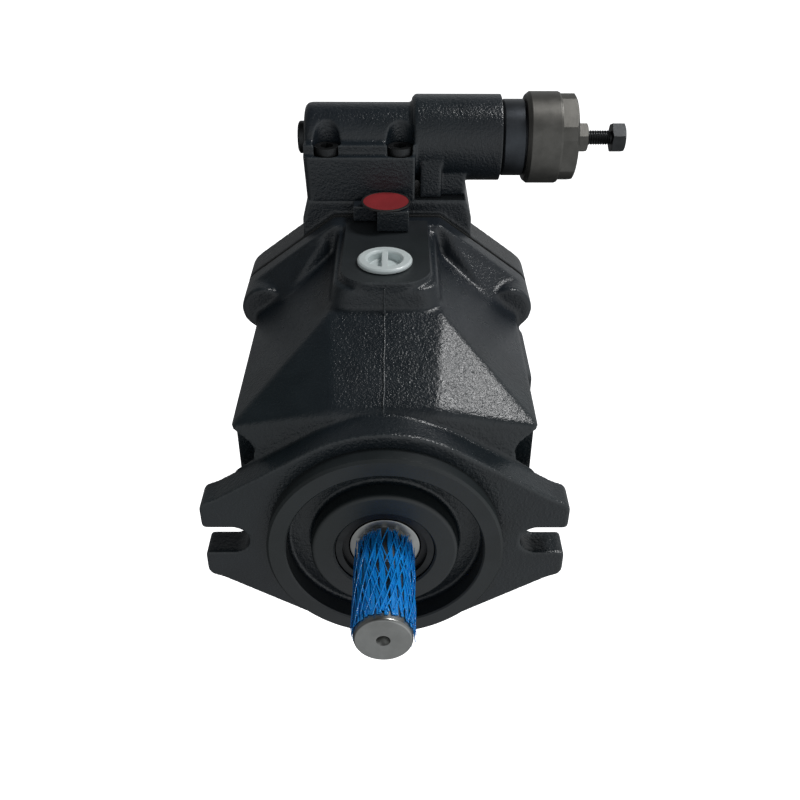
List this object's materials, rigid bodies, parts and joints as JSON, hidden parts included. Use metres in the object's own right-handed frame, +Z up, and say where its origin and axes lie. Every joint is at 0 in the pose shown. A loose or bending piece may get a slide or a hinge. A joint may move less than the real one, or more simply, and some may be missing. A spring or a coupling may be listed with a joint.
{
  "type": "axial piston pump",
  "caption": "Variable axial piston pump: two-bolt flange, keyed shaft, cast case and port cover, tilting swash plate, pistons in a barrel, and a pressure compensator on top.",
  "frame": {"origin": "centre of the mounting pilot, at the mounting flange's front face", "axes": "-Y out along the drive shaft, +Y back to the port cover, +Z up to the compensator, +X towards its adjusting screw"},
  "size_m": [0.1618, 0.2102, 0.178],
  "materials": {
    "cast_paint": "satin black paint over a sand-cast skin",
    "steel": "ground and machined",
    "dark_steel": "black oxide, satin",
    "nut_steel": "turned, brown-grey",
    "bronze": "machined bronze",
    "rubber": "matte",
    "gasket": "fibre sheet",
    "blue_net": "woven plastic net",
    "white_plastic": "translucent moulded",
    "red_enamel": "red enamel, black rim"
  },
  "bodies": {
    "housing": {"casing": "cast_paint", "rear_cover": "cast_paint", "case_gasket": "gasket", "cover_bolt_upper_left": "dark_steel", "cover_bolt_upper_right": "dark_steel", "cover_bolt_lower_left": "dark_steel", "cover_bolt_lower_right": "dark_steel", "front_bearing_cup": "steel", "rear_needle_bearing": "steel", "shaft_seal": "rubber", "seal_retaining_ring": "dark_steel", "cradle_bearing": "bronze", "control_cylinder": "steel", "bias_spring": "steel", "valve_plate": "bronze", "compensator_body": "cast_paint", "spring_housing": "dark_steel", "compensator_cap": "nut_steel", "end_plug": "dark_steel", "compensator_screw_front_left": "dark_steel", "compensator_screw_front_right": "dark_steel", "compensator_screw_rear_left": "dark_steel", "compensator_screw_rear_right": "dark_steel", "compensator_spring": "steel", "case_plug_front": "cast_paint", "case_plug_rear": "cast_paint", "red_tag": "red_enamel"},
    "rotating_group": {"drive_shaft": "steel", "front_bearing_cone": "steel", "cylinder_block": "bronze", "barrel_spring": "steel", "retainer_ball_guide": "steel"},
    "swash": {"swash_plate": "steel"},
    "retainer": {"retainer_plate": "steel"},
    "control_piston": {"control_piston": "steel"},
    "bias_seat": {"bias_spring_seat": "steel"},
    "spool": {"compensator_spool": "steel"},
    "plunger": {"adjuster_plunger": "steel"},
    "pressure_screw": {"adjusting_screw": "dark_steel"},
    "lock_nut": {"lock_nut": "nut_steel"},
    "drain_cap": {"drain_cap": "white_plastic"},
    "shaft_sleeve": {"shaft_mesh_sleeve": "blue_net"},
    "piston_1": {"piston_1": "steel"},
    "slipper_1": {"slipper_1": "bronze"},
    "piston_2": {"piston_2": "steel"},
    "slipper_2": {"slipper_2": "bronze"},
    "piston_3": {"piston_3": "steel"},
    "slipper_3": {"slipper_3": "bronze"},
    "piston_4": {"piston_4": "steel"},
    "slipper_4": {"slipper_4": "bronze"},
    "piston_5": {"piston_5": "steel"},
    "slipper_5": {"slipper_5": "bronze"},
    "piston_6": {"piston_6": "steel"},
    "slipper_6": {"slipper_6": "bronze"},
    "piston_7": {"piston_7": "steel"},
    "slipper_7": {"slipper_7": "bronze"},
    "piston_8": {"piston_8": "steel"},
    "slipper_8": {"slipper_8": "bronze"},
    "piston_9": {"piston_9": "steel"},
    "slipper_9": {"slipper_9": "bronze"}
  },
  "joints": [
    {"name": "shaft_spin", "type": "hinge", "parent": "housing", "child": "rotating_group", "pos_m": [0, 0, 0], "axis": [0, 1, 0], "range_deg": [-3600, 3600]},
    {"name": "swash_tilt", "type": "hinge", "parent": "housing", "child": "swash", "pos_m": [0, 0.048, 0], "axis": [-1, 0, 0], "range_deg": [0, 17]},
    {"name": "retainer_tilt", "type": "hinge", "parent": "rotating_group", "child": "retainer", "pos_m": [0, 0.048, 0], "axis": [-1, 0, 0], "range_deg": [0, 17]},
    {"name": "control_piston_stroke", "type": "slide", "parent": "housing", "child": "control_piston", "axis": [0, 1, 0], "range_m": [0, 0.015]},
    {"name": "bias_seat_stroke", "type": "slide", "parent": "housing", "child": "bias_seat", "axis": [0, -1, 0], "range_m": [0, 0.014], "deforming": ["bias_spring"]},
    {"name": "spool_shift", "type": "slide", "parent": "housing", "child": "spool", "axis": [1, 0, 0], "range_m": [-0.0015, 0.002], "deforming": ["compensator_spring"]},
    {"name": "plunger_travel", "type": "slide", "parent": "housing", "child": "plunger", "axis": [-1, 0, 0], "range_m": [-0.0005, 0.003], "deforming": ["compensator_spring"]},
    {"name": "pressure_screw_turn", "type": "hinge", "parent": "plunger", "child": "pressure_screw", "pos_m": [0.08, 0.134, 0.0998], "axis": [-1, 0, 0], "range_deg": [-180, 1080]},
    {"name": "lock_nut_turn", "type": "hinge", "parent": "housing", "child": "lock_nut", "pos_m": [0.08, 0.134, 0.0998], "axis": [1, 0, 0], "range_deg": [0, 180]},
    {"name": "drain_cap_pull", "type": "slide", "parent": "housing", "child": "drain_cap", "axis": [0, 0, 1], "range_m": [0, 0.02]},
    {"name": "sleeve_pull", "type": "slide", "parent": "housing", "child": "shaft_sleeve", "axis": [0, -1, 0], "range_m": [0, 0.045]},
    {"name": "piston_1_stroke", "type": "slide", "parent": "rotating_group", "child": "piston_1", "axis": [0, 1, 0], "range_m": [0, 0.008]},
    {"name": "slipper_1_tilt", "type": "hinge", "parent": "piston_1", "child": "slipper_1", "pos_m": [0, 0.048, 0.026], "axis": [-1, 0, 0], "range_deg": [0, 17]},
    {"name": "piston_2_stroke", "type": "slide", "parent": "rotating_group", "child": "piston_2", "axis": [0, 1, 0], "range_m": [0, 0.0061]},
    {"name": "slipper_2_tilt", "type": "hinge", "parent": "piston_2", "child": "slipper_2", "pos_m": [-0.01671, 0.048, 0.01992], "axis": [-1, 0, 0], "range_deg": [0, 17]},
    {"name": "piston_3_stroke", "type": "slide", "parent": "rotating_group", "child": "piston_3", "axis": [0, 1, 0], "range_m": [0, 0.0014]},
    {"name": "slipper_3_tilt", "type": "hinge", "parent": "piston_3", "child": "slipper_3", "pos_m": [-0.0256, 0.048, 0.00451], "axis": [-1, 0, 0], "range_deg": [0, 17]},
    {"name": "piston_4_stroke", "type": "slide", "parent": "rotating_group", "child": "piston_4", "axis": [0, 1, 0], "range_m": [-0.004, 0]},
    {"name": "slipper_4_tilt", "type": "hinge", "parent": "piston_4", "child": "slipper_4", "pos_m": [-0.02252, 0.048, -0.013], "axis": [-1, 0, 0], "range_deg": [0, 17]},
    {"name": "piston_5_stroke", "type": "slide", "parent": "rotating_group", "child": "piston_5", "axis": [0, 1, 0], "range_m": [-0.0075, 0]},
    {"name": "slipper_5_tilt", "type": "hinge", "parent": "piston_5", "child": "slipper_5", "pos_m": [-0.00889, 0.048, -0.02443], "axis": [-1, 0, 0], "range_deg": [0, 17]},
    {"name": "piston_6_stroke", "type": "slide", "parent": "rotating_group", "child": "piston_6", "axis": [0, 1, 0], "range_m": [-0.0075, 0]},
    {"name": "slipper_6_tilt", "type": "hinge", "parent": "piston_6", "child": "slipper_6", "pos_m": [0.00889, 0.048, -0.02443], "axis": [-1, 0, 0], "range_deg": [0, 17]},
    {"name": "piston_7_stroke", "type": "slide", "parent": "rotating_group", "child": "piston_7", "axis": [0, 1, 0], "range_m": [-0.004, 0]},
    {"name": "slipper_7_tilt", "type": "hinge", "parent": "piston_7", "child": "slipper_7", "pos_m": [0.02252, 0.048, -0.013], "axis": [-1, 0, 0], "range_deg": [0, 17]},
    {"name": "piston_8_stroke", "type": "slide", "parent": "rotating_group", "child": "piston_8", "axis": [0, 1, 0], "range_m": [0, 0.0014]},
    {"name": "slipper_8_tilt", "type": "hinge", "parent": "piston_8", "child": "slipper_8", "pos_m": [0.0256, 0.048, 0.00451], "axis": [-1, 0, 0], "range_deg": [0, 17]},
    {"name": "piston_9_stroke", "type": "slide", "parent": "rotating_group", "child": "piston_9", "axis": [0, 1, 0], "range_m": [0, 0.0061]},
    {"name": "slipper_9_tilt", "type": "hinge", "parent": "piston_9", "child": "slipper_9", "pos_m": [0.01671, 0.048, 0.01992], "axis": [-1, 0, 0], "range_deg": [0, 17]}
  ],
  "couplings": [
    {"joint": "retainer_tilt", "follows": "swash_tilt", "ratio": 1},
    {"joint": "control_piston_stroke", "follows": "swash_tilt", "m_per_rad": 0.0504},
    {"joint": "bias_seat_stroke", "follows": "swash_tilt", "m_per_rad": 0.0468},
    {"joint": "pressure_screw_turn", "follows": "plunger_travel", "rad_per_m": 6283.2},
    {"joint": "piston_1_stroke", "follows": "swash_tilt", "m_per_rad": 0.026791},
    {"joint": "slipper_1_tilt", "follows": "swash_tilt", "ratio": 1},
    {"joint": "piston_2_stroke", "follows": "swash_tilt", "m_per_rad": 0.020523},
    {"joint": "slipper_2_tilt", "follows": "swash_tilt", "ratio": 1},
    {"joint": "piston_3_stroke", "follows": "swash_tilt", "m_per_rad": 0.004652},
    {"joint": "slipper_3_tilt", "follows": "swash_tilt", "ratio": 1},
    {"joint": "piston_4_stroke", "follows": "swash_tilt", "m_per_rad": -0.013395},
    {"joint": "slipper_4_tilt", "follows": "swash_tilt", "ratio": 1},
    {"joint": "piston_5_stroke", "follows": "swash_tilt", "m_per_rad": -0.025175},
    {"joint": "slipper_5_tilt", "follows": "swash_tilt", "ratio": 1},
    {"joint": "piston_6_stroke", "follows": "swash_tilt", "m_per_rad": -0.025175},
    {"joint": "slipper_6_tilt", "follows": "swash_tilt", "ratio": 1},
    {"joint": "piston_7_stroke", "follows": "swash_tilt", "m_per_rad": -0.013395},
    {"joint": "slipper_7_tilt", "follows": "swash_tilt", "ratio": 1},
    {"joint": "piston_8_stroke", "follows": "swash_tilt", "m_per_rad": 0.004652},
    {"joint": "slipper_8_tilt", "follows": "swash_tilt", "ratio": 1},
    {"joint": "piston_9_stroke", "follows": "swash_tilt", "m_per_rad": 0.020523},
    {"joint": "slipper_9_tilt", "follows": "swash_tilt", "ratio": 1}
  ]
}
